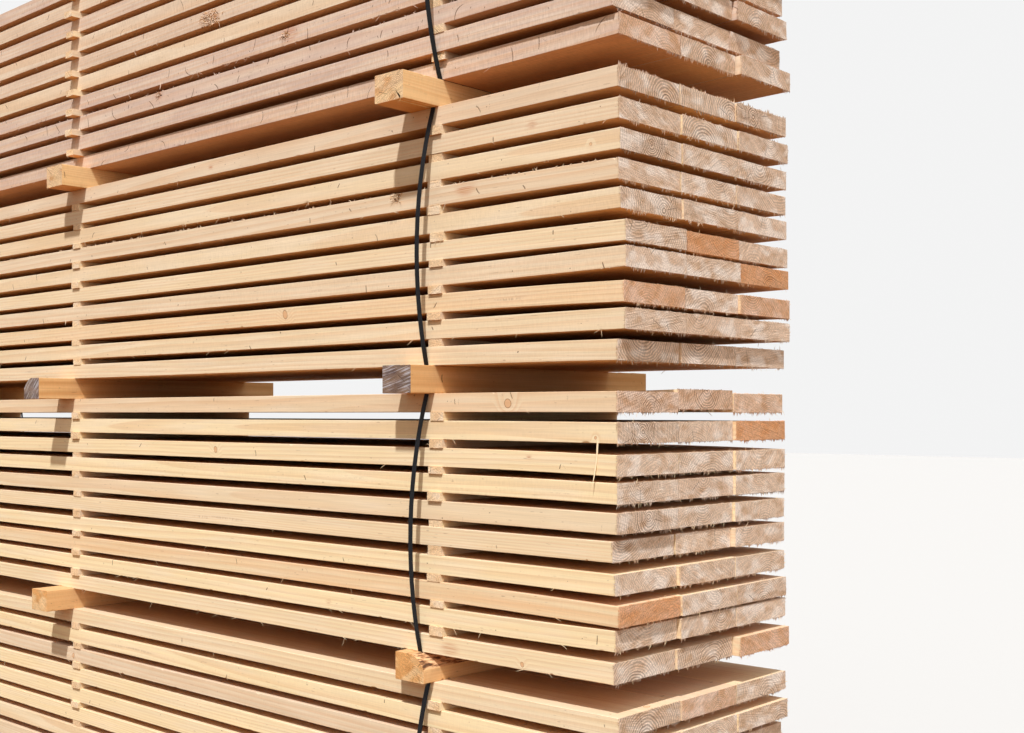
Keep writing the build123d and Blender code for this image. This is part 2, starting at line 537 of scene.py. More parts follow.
    def _knots(self, g: Graph, wood: Grown) -> tuple[Signal, Signal]:
        """Branches: the one that the timber is known to have, and one by chance in some whorls.

        Args:
            g: Graph to add to.
            wood: The timber's growth.

        Returns:
            Mask of the knots, and how far they push the rings outward.
        """
        place, angle, radius = g.attribute("knot")
        known, known_push = self._branch(g, wood, place - wood.along, angle, radius)
        run = wood.run
        cell = (run / self.whorl_gap).floor()
        shift, turn, size = g.chance(cell, wood.seed * 91.0)
        centre = (cell + 0.15 + shift * 0.7) * self.whorl_gap
        radius = (self.knot_share - size).most(0.0) * (self.largest_knot / self.knot_share)
        met, met_push = self._branch(g, wood, centre - run, turn * math.tau, radius)
        return known.most(met), known_push + met_push

    @staticmethod
    def _branch(g: Graph, wood: Grown, ahead: Signal, angle: Signal, radius: Signal) -> tuple[Signal, Signal]:
        """One branch that grows out of the pith, leaning a little along the timber.

        Args:
            g: Graph to add to.
            wood: The timber's growth.
            ahead: Distance along the timber to the branch's foot.
            angle: Direction of the branch round the pith.
            radius: Radius of the branch, 0 for none.

        Returns:
            Mask of the branch, and how far it pushes the rings outward.
        """
        cosine, sine = angle.cosine(), angle.sine()
        out = wood.pith_across * cosine + wood.pith_up * sine
        beside = wood.pith_up * cosine - wood.pith_across * sine
        lean = ahead + out * BRANCH_LEAN
        distance = (lean * lean + beside * beside).root()
        outward = out.rise(-0.002, 0.004) * radius.rise(0.0, 0.002)
        mask = distance.rise(radius, radius * 0.7) * outward
        push = distance.rise(radius * 4.0 + 0.001, radius * 0.5) * radius * outward
        return mask, push


@dataclass(frozen=True)
class CrosscutEnd(GrownWood):
    """Finish of a crosscut end: ring arcs, slanting saw scratches, drying checks and torn fibre."""

    ground: Colour = paint(236, 212, 189)
    rosy: Colour = paint(226, 196, 170)
    white: Colour = paint(252, 240, 228)
    tan: Colour = paint(204, 166, 130)
    stained: Colour = paint(222, 158, 106)
    bruised: Colour = paint(196, 192, 198)
    bruise_show: float = 0.0
    late: Colour = paint(72, 38, 20)
    check: Colour = paint(56, 32, 20)
    ring_show: float = 0.95
    rays: float = 7.0
    roughness: float = 0.85
    gloss: float = 0.15
    relief: float = 0.0012

    def material(self) -> bpy.types.Material:
        """Build the material.

        Returns:
            The finished material.
        """
        g = Graph(bpy.data.materials.new(self.name))
        wood = self.grow(g)
        fuzz = g.noise(wood.across * 230.0, wood.up * 230.0, wood.seed * 11.0, 2.0, 0.85)
        cloud = g.noise(wood.across * 22.0, wood.up * 38.0, wood.seed * 29.0, 1.0, 0.6)
        wobble = (fuzz - 0.5) * 0.0050 + (cloud - 0.5) * 0.012
        rings = (wood.radius + wobble) / wood.ring_width
        late = self.latewood(g, rings, wood.seed, 0.34, 0.56) * (fuzz.rise(0.34, 0.58) * 0.45 + 0.55)
        slant = wood.seed * 2.0 + 0.3
        stroke = wood.across * slant.cosine() + wood.up * slant.sine()
        run = wood.up * slant.cosine() - wood.across * slant.sine()
        scratch = g.noise(stroke * FINE_LINES, run * 14.0, wood.seed * 23.0, 1.0, 0.6)
        bloom = g.noise(wood.across * 15.0, wood.up * 24.0, wood.seed * 43.0, 1.0, 0.6)
        inner = wood.radius.rise(0.085, 0.012) * 0.45 + 0.55
        check = self._checks(g, wood)

        show = inner * wood.rings * self.ring_show * (bloom.rise(0.74, 0.44) * 0.4 + 0.6)
        ground = g.coats(
            g.blend(wood.tone, self.ground, self.rosy),
            (cloud.rise(0.44, 0.72) * 0.65, self.tan),
            (bloom.rise(0.46, 0.66) * 0.75, self.white),
            (wood.stain * (cloud * 0.5 + 0.6), self.stained),
            (late * show, self.late),
        )
        colour = g.level(ground, 1.0 + (scratch - 0.5) * 0.60 + (fuzz - 0.5) * 1.25)
        bruise = scratch.rise(0.47, 0.66) * bloom.rise(0.36, 0.56) * wood.stain * self.bruise_show
        colour = g.coats(colour, (bruise, self.bruised), (check * 0.85, self.check))
        height = (scratch - 0.5) * 0.9 + (fuzz - 0.5) * 1.2
        return g.principled(
            Base_Color=colour, Roughness=self.roughness, Specular_IOR_Level=self.gloss,
            Normal=g.bump(height, self.relief),
        )

    def _checks(self, g: Graph, wood: Grown) -> Signal:
        """Thin radial cracks, at most one in each sector round the pith.

        Args:
            g: Graph to add to.
            wood: The timber's growth.

        Returns:
            Mask of the cracks.
        """
        turned = wood.pith_up.angle(wood.pith_across) * (self.rays / math.tau)
        sector = turned.floor()
        is_there, where, start = g.chance(sector, wood.seed * 73.0)
        off = (turned.fraction() - where * 0.6 - 0.2).size() * wood.radius * (math.tau / self.rays)
        begin = start * 0.05 + 0.006
        length = wood.radius.rise(begin, begin + 0.004) * wood.radius.rise(begin + 0.045, begin + 0.03)
        return off.rise(0.0010, 0.0004) * length * is_there.rise(0.62, 0.63)


@dataclass(frozen=True)
class BarkWane:
    """Finish of the rounded edge of a timber where the log's own surface is left: bark and bast."""

    name: str = "bark_wane"
    bast: Colour = paint(228, 184, 138)
    bark: Colour = paint(150, 104, 70)
    crust: Colour = paint(74, 54, 44)
    relief: float = 0.002

    def material(self) -> bpy.types.Material:
        """Build the material.

        Returns:
            The finished material.
        """
        g = Graph(bpy.data.materials.new(self.name))
        along, across, up = g.attribute("stock")
        flakes = g.noise(along * 26.0, across * 95.0, up * 95.0, 2.0, 0.7)
        grain = g.noise(along * 20.0, across * 260.0, up * 260.0, 1.0, 0.6)
        colour = g.coats(
            g.blend(flakes.rise(0.42, 0.60), self.bast, self.bark),
            (flakes.rise(0.57, 0.64) * 0.8, self.crust),
        )
        colour = g.level(colour, 1.0 + (grain - 0.5) * 0.5)
        height = flakes * 1.2 + grain * 0.5
        normal = g.bump(height, self.relief)
        return g.principled(Base_Color=colour, Roughness=0.9, Specular_IOR_Level=0.1, Normal=normal)


@dataclass(frozen=True)
class StrapSteel:
    """Finish of painted steel strap: black with a cool sheen, scuffed to grey in places."""

    name: str = "strap_steel"
    coat: Colour = paint(6, 6, 10)
    scuffed: Colour = paint(46, 44, 50)
    gloss: float = 0.22
    relief: float = 0.0002

    def material(self) -> bpy.types.Material:
        """Build the material.

        Returns:
            The finished material.
        """
        g = Graph(bpy.data.materials.new(self.name))
        x, y, z = g.parts(g.add("ShaderNodeNewGeometry", output="Position"))
        scuffs = g.noise(x * 300.0, y * 24.0, z * 24.0, 2.0, 0.6)
        dust = g.noise(x * 60.0, y * 60.0, z * 60.0)
        colour = g.blend(scuffs.rise(0.58, 0.74) * 0.4, self.coat, self.scuffed)
        return g.principled(
            Base_Color=colour, Specular_IOR_Level=self.gloss, Roughness=0.42 + dust * 0.25,
            Normal=g.bump(scuffs, self.relief),
        )


def soft_noise(places: np.ndarray, gap: float, rng: np.random.Generator) -> np.ndarray:
    """Smooth random line.

    Args:
        places: Places at which it is read.
        gap: Distance between its random points.
        rng: Source of chance.

    Returns:
        A value from 0 to 1 for each place.
    """
    where = (places - places.min()) / gap
    points = rng.random(int(where.max()) + 2)
    whole = np.floor(where).astype(int)
    part = where - whole
    part = part * part * (3 - 2 * part)
    return points[whole] * (1 - part) + points[whole + 1] * part


class Surface(Enum):
    """Material slots of a wooden piece; BARK is also the slot of dark torn fibre."""

    LONG = 0
    CUT = 1
    BARK = 2


class MeshPile:
    """Closed shapes that are collected and become one mesh."""

    def __init__(self) -> None:
        """Start an empty pile."""
        self.points: list[np.ndarray] = []
        self.faces: list[np.ndarray] = []
        self.surfaces: list[np.ndarray] = []
        self.vectors: dict[str, list[np.ndarray]] = {}
        self.count = 0

    def add(self, points: np.ndarray, faces: np.ndarray, surfaces: np.ndarray, **vectors: np.ndarray) -> None:
        """Add one closed shape.

        Args:
            points: Its points.
            faces: Rows of four point numbers; a triangle has its last one twice.
            surfaces: Material slot of each face.
            **vectors: Vector attributes, with a row for each point or one for all.
        """
        self.points.append(points)
        self.faces.append(faces + self.count)
        self.surfaces.append(surfaces)
        for name, rows in vectors.items():
            self.vectors.setdefault(name, []).append(np.broadcast_to(rows, (len(points), 3)))
        self.count += len(points)

    def build(self, name: str, materials: Sequence[bpy.types.Material]) -> bpy.types.Object:
        """Make the mesh object.

        Args:
            name: Name of the piece.
            materials: Materials in the order of the slots; those after its last used slot are left out.

        Returns:
            The object, in the scene.
        """
        faces = np.concatenate(self.faces)
        is_quad = faces[:, 3] != faces[:, 2]
        keep = np.ones(faces.shape, bool)
        keep[:, 3] = is_quad
        corners = np.where(is_quad, 4, 3)
        starts = np.concatenate(([0], np.cumsum(corners)[:-1]))
        points = np.clip(np.concatenate(self.points), np.array(CAD_BOX[0]), np.array(CAD_BOX[1]))
        mesh = bpy.data.meshes.new(name)
        mesh.vertices.add(self.count)
        mesh.vertices.foreach_set("co", points.astype(np.float32).ravel())
        mesh.loops.add(int(corners.sum()))
        mesh.loops.foreach_set("vertex_index", faces[keep].astype(np.int32))
        mesh.polygons.add(len(faces))
        mesh.polygons.foreach_set("loop_start", starts.astype(np.int32))
        mesh.update(calc_edges=True)
        surfaces = np.concatenate(self.surfaces).astype(np.int32)
        mesh.polygons.foreach_set("material_index", surfaces)
        for key, rows in self.vectors.items():
            attribute = mesh.attributes.new(key, "FLOAT_VECTOR", "POINT")
            attribute.data.foreach_set("vector", np.concatenate(rows).astype(np.float32).ravel())
        for material in materials[: int(surfaces.max()) + 1]:
            mesh.materials.append(material)
        mesh.set_sharp_from_angle(angle=math.radians(SHARP_ANGLE))
        piece = bpy.data.objects.new(name, mesh)
        bpy.context.scene.collection.objects.link(piece)
        return piece


def table(rows: dict) -> dict:
    """Make a table the starting value of a dataclass field, a copy of its own for each object."""
    return field(default_factory=lambda: dict(rows))


def solids_of(node: str) -> list[np.ndarray]:
    """Take a node of the frame apart into its solids.

    Args:
        node: Name of the node.

    Returns:
        The points of each solid.
    """
    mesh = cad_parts[node].data
    points = np.empty(len(mesh.vertices) * 3)
    mesh.vertices.foreach_get("co", points)
    points = points.reshape(-1, 3)
    _, same = np.unique(np.round(points, 6), axis=0, return_inverse=True)
    same = same.ravel()
    edges = np.empty(len(mesh.edges) * 2, np.int32)
    mesh.edges.foreach_get("vertices", edges)
    ends = same[edges.reshape(-1, 2)]
    group = np.arange(same.max() + 1)
    settled = False
    while not settled:
        lowest = np.minimum(group[ends[:, 0]], group[ends[:, 1]])
        before = group.copy()
        np.minimum.at(group, ends[:, 0], lowest)
        np.minimum.at(group, ends[:, 1], lowest)
        settled = bool((group == before).all())
    own = group[same]
    return [points[own == label] for label in np.unique(own)]


def stations(length: float, steps: Steps) -> np.ndarray:
    """Places along a timber at which its section is drawn.

    Args:
        length: Length of the timber.
        steps: Pairs of a distance and the step that is used up to it.

    Returns:
        The places, from 0 to the length.
    """
    places, here = [0.0], 0.0
    for reach, step in steps:
        stop = min(reach, length)
        if stop > here:
            count = max(1, round((stop - here) / step))
            places.extend(np.linspace(here, stop, count + 1)[1:])
            here = stop
    return np.array(places)


class Tint(Enum):
    """How a timber's end has coloured."""

    CLEAN = 0.0
    WARM = 0.35
    TAN = 0.6
    ORANGE = 0.95


@dataclass(frozen=True)
class Log:
    """The tree that a timber was sawn from, as the shader needs it."""

    seed: float
    tone: float
    stain: float
    pith_across: float
    pith_up: float
    ring_width: float
    knot_place: float = 0.0
    knot_angle: float = 0.0
    knot_radius: float = 0.0
    rings: float = 0.7
    saw: float = 0.2
    scrapes: float = 0.15
    mark: tuple[float, float, float] = (0.0, 0.0, 0.0)

    def attributes(self) -> dict[str, np.ndarray]:
        """Vector attributes that are the same on the whole timber."""
        return {
            "log": np.array([self.pith_across, self.pith_up, self.ring_width]),
            "look": np.array([self.seed, self.tone, self.stain]),
            "knot": np.array([self.knot_place, self.knot_angle, self.knot_radius]),
            "wear": np.array([self.rings, self.saw, self.scrapes]),
            "mark": np.array(self.mark),
        }


@dataclass
class TornEdge:
    """Fibre that the saw left hanging along an edge of a cut end: short teeth, and a few long whiskers."""

    pitch: float = 0.0040
    tooth: float = 0.0120
    width: float = 0.0042
    whiskers_per_metre: float = 16.0
    whisker: float = 0.014

    def grow(
        self,
        pile: MeshPile,
        edge: tuple[np.ndarray, np.ndarray],
        out: np.ndarray,
        drop: np.ndarray,
        raggedness: float,
        rng: np.random.Generator,
        wood: dict[str, np.ndarray],
    ) -> None:
        """Add the fibre of one edge.

        Args:
            pile: Pile to add to.
            edge: The two ends of the edge.
            out: Direction out of the cut end.
            drop: Direction out of the face beside the edge.
            raggedness: Strength, 1 for the edge where the saw leaves the timber.
            rng: Source of chance.
            wood: Attributes of the timber.
        """
        span = float(np.linalg.norm(edge[1] - edge[0]))
        side = (edge[1] - edge[0]) / span
        count = max(2, int(span / self.pitch))
        where = (np.arange(count) + rng.uniform(0.2, 0.8, count)) * span / count
        cluster = np.clip(soft_noise(where, 0.022, rng) * 1.3 - 0.1, 0.15, 1)
        reach = self.tooth * raggedness * cluster * rng.random(count) ** 0.8 + 0.0004
        width = self.width * rng.uniform(0.5, 1.2, count)
        lean = rng.normal(0, 0.35, count)
        roots = edge[0] + side * where[:, None] - drop * 0.0012 - out * 0.0010
        points = np.empty((count, 4, 3))
        points[:, 0] = roots - side * width[:, None] / 2 + out * 0.0008
        points[:, 1] = roots + side * width[:, None] / 2 + out * 0.0008
        points[:, 2] = roots - out * width[:, None] * 0.6
        points[:, 3] = roots + (drop + side * lean[:, None] - out * 0.1) * (reach + 0.0012)[:, None]
        faces = np.array([[0, 1, 3, 3], [1, 2, 3, 3], [2, 0, 3, 3], [0, 2, 1, 1]])
        if np.dot(np.cross(side, drop), out) < 0:
            faces = faces[:, [1, 0, 2, 2]]
        rows = (faces[None] + np.arange(count)[:, None, None] * 4).reshape(-1, 4)
        surfaces = np.full(len(rows), Surface.CUT.value)
        pile.add(points.reshape(-1, 3), rows, surfaces, **wood)
        for _ in range(rng.poisson(span * self.whiskers_per_metre * raggedness)):
            self._whisker(pile, edge[0] + side * rng.uniform(0, span), (side, drop, out), rng, wood)

    def _whisker(
        self,
        pile: MeshPile,
        root: np.ndarray,
        axes: tuple[np.ndarray, np.ndarray, np.ndarray],
        rng: np.random.Generator,
        wood: dict[str, np.ndarray],
    ) -> None:
        """Add one long fibre.

        Args:
            pile: Pile to add to.
            root: Where it leaves the edge.
            axes: Directions along the edge, out of the face beside it and out of the cut end.
            rng: Source of chance.
            wood: Attributes of the timber.
        """
        side, drop, out = axes
        reach = self.whisker * rng.uniform(0.35, 1.0)
        swing = rng.normal(0, 0.6)
        heading = drop + side * swing
        elbow = root + heading * reach * 0.5 + side * rng.normal(0, 0.15) * reach
        tip = elbow + (heading + side * rng.normal(0, 0.5)) * reach * 0.5
        ring = np.array([side, out * 0.3 - side * 0.5, -out * 0.9 - side * 0.5]) * rng.uniform(0.0006, 0.0011)
        points = np.concatenate([root - drop * 0.001 - out * 0.001 + ring, elbow + ring * 0.8, [tip]])
        faces = np.array([
            [0, 1, 4, 3], [1, 2, 5, 4], [2, 0, 3, 5], [3, 4, 6, 6], [4, 5, 6, 6], [5, 3, 6, 6], [2, 1, 0, 0],
        ])
        pile.add(points, faces, np.full(len(faces), Surface.LONG.value), **wood)


@dataclass
class Splinters:
    """Slivers that the saw lifted along an edge of the long faces, still held at one end."""

    per_metre: float = 2.0
    reach: float = 0.030
    width: float = 0.0016
    joints: int = 5

    def grow(
        self,
        pile: MeshPile,
        line: np.ndarray,
        axes: tuple[np.ndarray, np.ndarray],
        rng: np.random.Generator,
        wood: dict[str, np.ndarray],
    ) -> None:
        """Add slivers by chance along an edge.

        Args:
            pile: Pile to add to.
            line: Points of the edge.
            axes: Directions out of the front face and down from the edge.
            rng: Source of chance.
            wood: Attributes of the timber.
        """
        span = float(np.linalg.norm(line[-1] - line[0]))
        for _ in range(rng.poisson(span * self.per_metre)):
            place = rng.uniform(0.02, 0.98) * (len(line) - 1)
            at = int(place)
            root = line[at] + (line[at + 1] - line[at]) * (place - at)
            run = (line[-1] - line[0]) / span * rng.choice([-1.0, 1.0])
            lean = rng.uniform(0.1, 1.3)
            reach = self.reach * rng.uniform(0.2, 1.0) ** 1.5
            heading = run * math.cos(lean) + axes[1] * math.sin(lean)
            sizes = (reach, self.width * rng.uniform(0.5, 1.1))
            self.sliver(pile, root, (heading, axes[0], axes[1]), sizes, wood)

    def sliver(
        self,
        pile: MeshPile,
        root: np.ndarray,
        axes: tuple[np.ndarray, np.ndarray, np.ndarray],
        sizes: tuple[float, float],
        wood: dict[str, np.ndarray],
        surface: Surface = Surface.LONG,
    ) -> None:
        """Add one tapered sliver that curls down and outward.

        Args:
            pile: Pile to add to.
            root: Where it is held.
            axes: Directions along it, out of the front face and down.
            sizes: Its length and its width.
            wood: Attributes of the timber.
            surface: Its material slot.
        """
        heading, out, down = axes
        reach, width = sizes
        side = np.cross(heading, out)
        section = np.array([side, out * 0.45, -side]) * width / 2
        share = np.linspace(0, 1, self.joints)[:, None]
        spine = root - heading * 0.002 - out * 0.0003 + heading * reach * share
        spine = spine + (down * 0.10 + out * 0.12) * reach * share ** 2
        rows = spine[:-1, None] + section * (1 - share[:-1, None] ** 2 * 0.7)
        points = np.concatenate([rows.reshape(-1, 3), spine[-1:]])
        faces = [[2, 1, 0, 0]]
        for joint in range(self.joints - 1):
            for corner in range(3):
                here, after = joint * 3 + corner, joint * 3 + (corner + 1) % 3
                last = joint == self.joints - 2
                faces.append([here, after, len(points) - 1, len(points) - 1] if last else
                             [here, after, after + 3, here + 3])
        rows = np.array(faces)
        pile.add(points, rows, np.full(len(rows), surface.value), **wood)


class Notch(NamedTuple):
    """A bite out of one corner of a timber's section."""

    corner: int
    place: float
    reach: float
    depth: float

    def wear(self, along: np.ndarray) -> np.ndarray:
        """Depth of the bite at each station."""
        left = np.clip(1 - np.abs(along - self.place) / self.reach, 0, 1)
        return self.depth * np.sqrt(left)


@dataclass
class Timber:
    """A sawn timber: an outline drawn along a line, with rubbed and chipped arrises and torn ends."""

    start: np.ndarray
    axes: tuple[np.ndarray, np.ndarray, np.ndarray]
    length: float
    outline: np.ndarray
    log: Log
    rng: np.random.Generator
    steps: Steps
    bend: Optional[tuple[np.ndarray, np.ndarray]] = None
    arris: float = 0.0008
    chip: float = 0.0038
    chips_per_metre: dict[int, float] = field(default_factory=dict)
    splinters: dict[int, Splinters] = field(default_factory=dict)
    hanging: tuple[tuple[int, float, float], ...] = ()
    hanging_width: float = 0.0056
    hanging_inset: float = 0.004
    tuft: Optional[Spot] = None
    tuft_slivers: float = 6500.0
    tuft_fibre: Splinters = field(default_factory=Splinters)
    dark_share: float = 0.6
    face_limit: float = 0.022
    slant_limit: float = 0.003
    bark: bool = False
    torn: Optional[TornEdge] = None
    torn_edges: dict[int, float] = field(default_factory=dict)

    def build(self, pile: MeshPile) -> None:
        """Add the timber to a pile.

        Args:
            pile: Pile to add to.
        """
        along_axis, across_axis, up_axis = self.axes
        notches = self._notches()
        edges = [notch.place + notch.reach * share for notch in notches for share in NOTCH_SHARES]
        along = np.unique(np.clip(np.concatenate([stations(self.length, self.steps), edges]), 0, self.length))
        lift = np.interp(along, *self.bend) if self.bend else np.zeros(len(along))
        flat = self._rings(along, notches)
        rows = self._at(along[:, None, None], flat[..., :1], flat[..., 1:] + lift[:, None, None])
        around = flat.shape[1]
        stock = np.concatenate([np.broadcast_to(along[:, None, None], flat[..., :1].shape), flat], -1)
        centres = self.outline.mean(0)
        ends = [0, len(along) - 1]
        middles = [self._at(along[end], centres[0], centres[1] + lift[end]) for end in ends]
        points = np.concatenate([rows.reshape(-1, 3), middles])
        stocks = np.concatenate([stock.reshape(-1, 3), [[along[end], *centres] for end in ends]])
        faces, surfaces = self._skin(len(along), around)
        if self.bark:
            surfaces[: (len(along) - 1) * around] = np.tile(self._bark_strips(), len(along) - 1)
        pile.add(points, faces, surfaces, stock=stocks, **self.log.attributes())
        if self.torn:
            for end, out in ((0, -1.0), (len(along) - 1, 1.0)):
                self._tear(pile, float(along[end]), float(lift[end]), out)
        for corner, splinters in self.splinters.items():
            point = self.outline[corner]
            out = across_axis * (1.0 if point[0] > 0 else -1.0)
            line = self._at(along[:, None], point[0], (point[1] + lift)[:, None])
            wood = self.log.attributes() | {"stock": np.array([1.0, *point])}
            splinters.grow(pile, line, (out, up_axis if point[1] > 0 else -up_axis), self.rng, wood)
            for held, place, reach in self.hanging:
                if held == corner:
                    root = self._at(place, point[0], point[1] + float(np.interp(place, along, lift)))
                    axes = (-up_axis + along_axis * 0.03, out, along_axis * 0.3)
                    sizes = (reach, self.hanging_width)
                    splinters.sliver(pile, root + up_axis * self.hanging_inset, axes, sizes, wood)
        if self.tuft:
            self._lift_tuft(pile, *self.tuft)

    def _at(self, along: Places, across: Places, up: Places) -> np.ndarray:
        """Points of the timber in the frame.

        Args:
            along: Places along it; an array ends in an axis of one.
            across: Places across it.
            up: Places up it.

        Returns:
            The points.
        """
        along_axis, across_axis, up_axis = self.axes
        return self.start + along * along_axis + across * across_axis + up * up_axis

    def _lift_tuft(self, pile: MeshPile, place: float, level: float, size: float) -> None:
        """Lift a tuft of torn fibre on the front face.

        Args:
            pile: Pile to add to.
            place: Place of its middle along the timber.
            level: Place of its middle up the face.
            size: Its half length.
        """
        along_axis, across_axis, up_axis = self.axes
        front = float(self.outline[:, 0].max())
        middle = float(np.interp(place, *self.bend)) if self.bend else 0.0
        rng = self.rng
        count = int(size * self.tuft_slivers)
        for number in range(count):
            is_dark = number < count * self.dark_share
            wood = self.log.attributes() | {"stock": np.array([rng.uniform(0, self.length), front, level])}
            shift = rng.normal(0, size * 0.42)
            rise = float(np.clip(level + rng.normal(0, size * 0.28), -self.face_limit, self.face_limit))
            turn = rng.uniform(0, math.tau)
            lean = rng.uniform(0.0, 0.08) if is_dark else rng.uniform(0.1, 0.6)
            heading = along_axis * math.cos(turn) + up_axis * math.sin(turn) * 0.6 + across_axis * lean
            root = self._at(place + shift, front, middle + rise)
            sizes = (rng.uniform(0.006, 0.020), rng.uniform(0.0022, 0.0050))
            surface = Surface.BARK if is_dark else Surface.LONG
            self.tuft_fibre.sliver(pile, root, (heading, across_axis, -up_axis), sizes, wood, surface)

    def _notches(self) -> list[Notch]:
        """Bites at random places of the chipped corners, most of them small."""
        rng = self.rng
        return [
            Notch(
                corner, rng.uniform(0, self.length), rng.uniform(0.002, 0.014),
                self.chip * rng.uniform(0.3, 1) ** 2,
            )
            for corner, rate in self.chips_per_metre.items() for _ in range(rng.poisson(rate * self.length))
        ]

    def _rings(self, along: np.ndarray, notches: Sequence[Notch]) -> np.ndarray:
        """Outline at each station, with each corner rubbed to three points.

        Args:
            along: The stations.
            notches: Bites out of the corners.

        Returns:
            Points across and up the timber.
        """
        corners = self.outline
        before = np.roll(corners, 1, 0) - corners
        after = np.roll(corners, -1, 0) - corners
        before /= np.linalg.norm(before, axis=1)[:, None]
        after /= np.linalg.norm(after, axis=1)[:, None]
        rings = np.empty((len(along), len(corners), 3, 2))
        for corner, point in enumerate(corners):
            wear = np.full(len(along), self.arris)
            if corner in self.chips_per_metre:
                wear = wear + 0.0007 * soft_noise(along, 0.014, self.rng)
            for notch in notches:
                if notch.corner == corner:
                    wear = wear + notch.wear(along)
            skew = 0.7 + 0.6 * soft_noise(along, 0.05, self.rng)
            first, last = wear * skew, wear * (2.0 - skew)
            back, on = before[corner] * first[:, None], after[corner] * last[:, None]
            rings[:, corner, 0] = point + back
            rings[:, corner, 1] = point + (back + on) * 0.3
            rings[:, corner, 2] = point + on
        return rings.reshape(len(along), -1, 2)

    def _bark_strips(self) -> np.ndarray:
        """Material slot of each strip round the section, bark where the outline slants."""
        step = np.roll(self.outline, -1, 0) - self.outline
        slanted = np.abs(step).min(1) > self.slant_limit
        strips = np.full((len(self.outline), 3), Surface.LONG.value)
        strips[slanted] = Surface.BARK.value
        follows = np.roll(slanted, 1)
        strips[:, :2][follows & slanted] = Surface.BARK.value
        return strips.ravel()

    @staticmethod
    def _skin(count: int, around: int) -> tuple[np.ndarray, np.ndarray]:
        """Faces of the bar and of its two ends.

        Args:
            count: Number of stations.
            around: Number of points round a section.

        Returns:
            The faces, and their material slots.
        """
        first = np.arange(count - 1)[:, None] * around
        here = np.arange(around)[None, :]
        after = (here + 1) % around
        skin = np.stack([first + here, first + after, first + around + after, first + around + here], -1)
        here, after = here[0], after[0]
        near, far = count * around, count * around + 1
        last = (count - 1) * around
        near_cap = np.stack([after, here, np.full(around, near), np.full(around, near)], -1)
        far_cap = np.stack([last + here, last + after, np.full(around, far), np.full(around, far)], -1)
        faces = np.concatenate([skin.reshape(-1, 4), near_cap, far_cap])
        surfaces = np.full(len(faces), Surface.CUT.value)
        surfaces[: (count - 1) * around] = Surface.LONG.value
        return faces, surfaces

    def _tear(self, pile: MeshPile, along: float, lift: float, out: float) -> None:
        """Hang torn fibre on the edges of one end.

        Args:
            pile: Pile to add to.
            along: Where the end is.
            lift: How far the timber is bent up there.
            out: Direction of the end along the timber, -1 or 1.
        """
        along_axis, across_axis, up_axis = self.axes
        wood = self.log.attributes()
        count = len(self.outline)
        for number, raggedness in self.torn_edges.items():
            flat = self.outline[[number, (number + 1) % count]]
            middle = flat.mean(0)
            step = flat[1] - flat[0]
            normal = np.array([step[1], -step[0]]) / np.linalg.norm(step)
            edge = [self._at(along, point[0], point[1] + lift) for point in flat]
            drop = normal[0] * across_axis + normal[1] * up_axis
            wood["stock"] = np.array([along, *middle])
            self.torn.grow(pile, (edge[0], edge[1]), along_axis * out, drop, raggedness, self.rng, wood)


